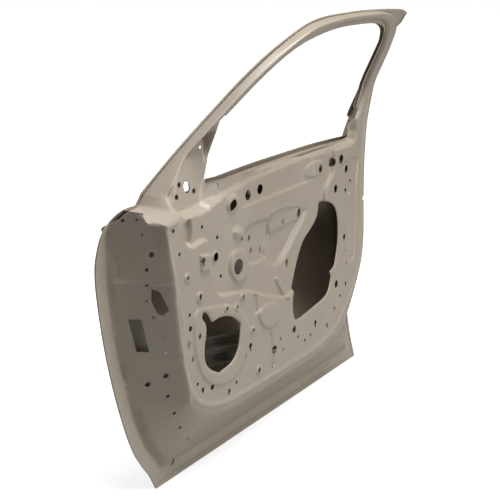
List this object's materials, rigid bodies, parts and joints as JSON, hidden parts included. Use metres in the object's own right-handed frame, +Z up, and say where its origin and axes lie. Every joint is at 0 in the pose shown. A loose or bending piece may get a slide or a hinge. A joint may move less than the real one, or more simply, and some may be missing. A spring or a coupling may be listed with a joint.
{
  "type": "car door shell",
  "caption": "Bare pressed-steel shell of a right front car door with window frame, hinge wall, speaker and service openings and hemmed outer skin.",
  "frame": {"origin": "middle of the upper hinge's seat on the inner panel's hinge wall", "axes": "+X to the rear of the car, +Y outboard to the right, +Z up; the door hangs in this pose when shut"},
  "size_m": [1.1444, 0.245, 1.0622],
  "materials": {
    "primer": "satin primer",
    "brace_primer": "dip primer",
    "plated_steel": "plated",
    "mastic": "matt"
  },
  "bodies": {
    "root": {"inner_panel": "primer", "outer_panel": "primer", "upper_hinge_reinforcement": "brace_primer", "lower_hinge_reinforcement": "brace_primer", "door_check_reinforcement": "brace_primer", "latch_reinforcement": "brace_primer", "mirror_reinforcement": "brace_primer", "inner_belt_reinforcement": "brace_primer", "outer_belt_reinforcement": "brace_primer", "intrusion_beam": "brace_primer", "beam_front_bracket": "brace_primer", "beam_rear_bracket": "brace_primer", "front_glass_channel": "brace_primer", "rear_glass_channel": "brace_primer", "front_channel_bracket": "brace_primer", "rear_channel_bracket": "brace_primer", "window_channel": "brace_primer", "handle_reinforcement": "brace_primer", "upper_tapping_plate": "plated_steel", "lower_tapping_plate": "plated_steel", "mirror_nut_1": "plated_steel", "mirror_nut_2": "plated_steel", "mirror_nut_3": "plated_steel", "mastic_pad_1": "mastic", "mastic_pad_2": "mastic", "mastic_pad_3": "mastic"}
  },
  "joints": []
}
